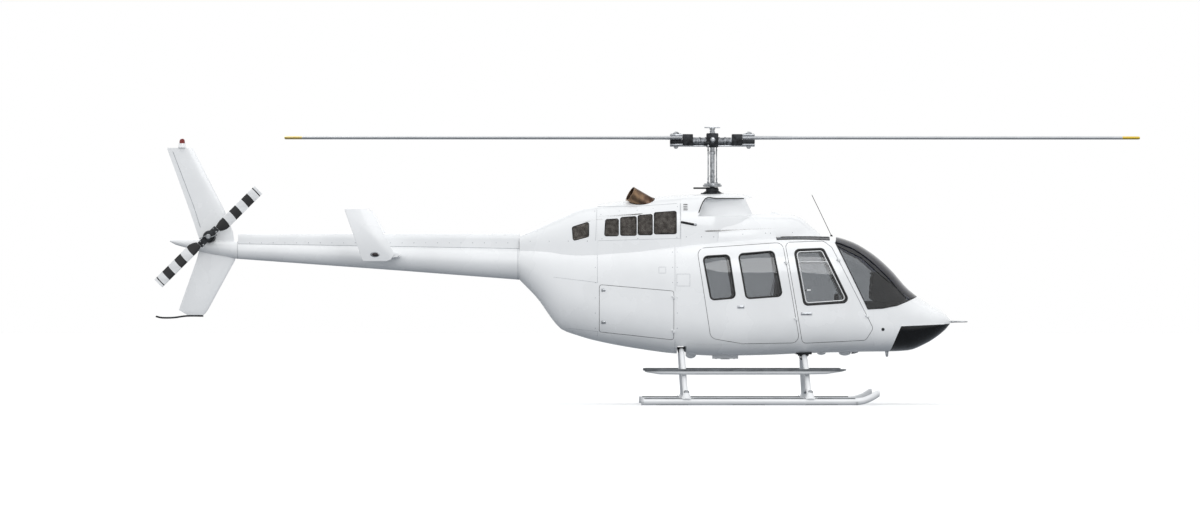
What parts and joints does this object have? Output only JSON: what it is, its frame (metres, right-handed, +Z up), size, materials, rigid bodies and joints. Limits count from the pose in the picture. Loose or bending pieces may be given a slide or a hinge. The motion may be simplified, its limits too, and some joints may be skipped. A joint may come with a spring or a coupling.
{
  "type": "light single-engine helicopter on skids",
  "caption": "Light utility helicopter parked on skid gear, with a two-blade main rotor and tail rotor that turn, hinged cabin and baggage doors, glazed hollow cabin and a tail boom with fins.",
  "frame": {"origin": "on the ground, under the middle of the parked helicopter's overall box", "axes": "+X towards the nose, +Y to port, +Z up"},
  "size_m": [12.9813, 2.2792, 3.655],
  "materials": {
    "white_paint": "gloss",
    "blade_paint": "satin",
    "step_paint": "satin",
    "rotor_metal": "satin",
    "engine_metal": "satin",
    "dark_metal": "satin",
    "heated_steel": "satin",
    "clear_glass": "polished",
    "tinted_glass": "polished",
    "beacon_lens": "gloss",
    "cabin_trim": "matte",
    "floor_covering": "matte",
    "seat_fabric": "matte",
    "console_paint": "matte"
  },
  "bodies": {
    "airframe": {"cabin_frame": "white_paint", "cabin_belly": "white_paint", "nose_shell": "white_paint", "aft_fuselage": "white_paint", "aft_fairing": "white_paint", "engine_cowl": "white_paint", "transmission_cowl": "white_paint", "forward_fairing": "white_paint", "tail_boom": "white_paint", "stabiliser": "white_paint", "end_plate_right": "white_paint", "end_plate_left": "white_paint", "shaft_cover": "white_paint", "vertical_fin": "white_paint", "front_cross_tube": "white_paint", "rear_cross_tube": "white_paint", "skid_right": "white_paint", "skid_left": "white_paint", "step_right": "step_paint", "step_left": "step_paint", "swashplate_base": "rotor_metal", "engine_block": "engine_metal", "tail_gearbox": "dark_metal", "tail_skid": "dark_metal", "pitot_tube": "dark_metal", "exhaust_stack_right": "heated_steel", "exhaust_stack_left": "heated_steel", "windscreen_right": "clear_glass", "windscreen_left": "clear_glass", "chin_window_right": "clear_glass", "chin_window_left": "clear_glass", "skylight_right": "tinted_glass", "skylight_left": "tinted_glass", "beacon": "beacon_lens", "aft_bulkhead": "cabin_trim", "cabin_floor": "floor_covering", "crew_seat_right": "seat_fabric", "crew_seat_left": "seat_fabric", "middle_bench": "seat_fabric", "rear_bench": "seat_fabric", "instrument_console": "console_paint"},
    "front_door_right": {"front_door_right": "white_paint", "front_door_glass_right": "clear_glass"},
    "front_door_left": {"front_door_left": "white_paint", "front_door_glass_left": "clear_glass"},
    "rear_door_right": {"rear_door_right": "white_paint", "rear_glass_aft_right": "clear_glass", "rear_glass_fore_right": "clear_glass"},
    "rear_door_left": {"rear_door_left": "white_paint", "rear_glass_aft_left": "clear_glass", "rear_glass_fore_left": "clear_glass"},
    "baggage_door": {"baggage_door": "white_paint"},
    "main_rotor": {"rotor_mast": "rotor_metal", "rotor_hub": "rotor_metal", "main_blade_fore": "blade_paint", "main_blade_aft": "blade_paint"},
    "tail_rotor": {"tail_rotor_hub": "rotor_metal", "tail_blade_fore": "blade_paint", "tail_blade_aft": "blade_paint"}
  },
  "joints": [
    {"name": "front_door_right_hinge", "type": "hinge", "parent": "airframe", "child": "front_door_right", "pos_m": [2.865, -0.63899, 1.161], "axis": [-0.454, -0.0005, 0.891], "range_deg": [0, 80]},
    {"name": "front_door_left_hinge", "type": "hinge", "parent": "airframe", "child": "front_door_left", "pos_m": [2.865, 0.63899, 1.161], "axis": [0.454, -0.0005, -0.891], "range_deg": [0, 80]},
    {"name": "rear_door_right_hinge", "type": "hinge", "parent": "airframe", "child": "rear_door_right", "pos_m": [1.931, -0.67887, 1.121], "axis": [-0.168, 0.0209, 0.9856], "range_deg": [0, 80]},
    {"name": "rear_door_left_hinge", "type": "hinge", "parent": "airframe", "child": "rear_door_left", "pos_m": [1.931, 0.67887, 1.121], "axis": [0.168, 0.0209, -0.9856], "range_deg": [0, 80]},
    {"name": "baggage_door_hinge", "type": "hinge", "parent": "airframe", "child": "baggage_door", "pos_m": [0.333, -0.63195, 0.96], "axis": [0, -0.0174, 0.9998], "range_deg": [0, 90]},
    {"name": "main_rotor_turn", "type": "hinge", "parent": "airframe", "child": "main_rotor", "pos_m": [0.852, 0, 3.1], "axis": [0, 0, 1], "continuous": true},
    {"name": "tail_rotor_turn", "type": "hinge", "parent": "airframe", "child": "tail_rotor", "pos_m": [-5.781, -0.3, 2.203], "axis": [0, 1, 0], "continuous": true}
  ]
}
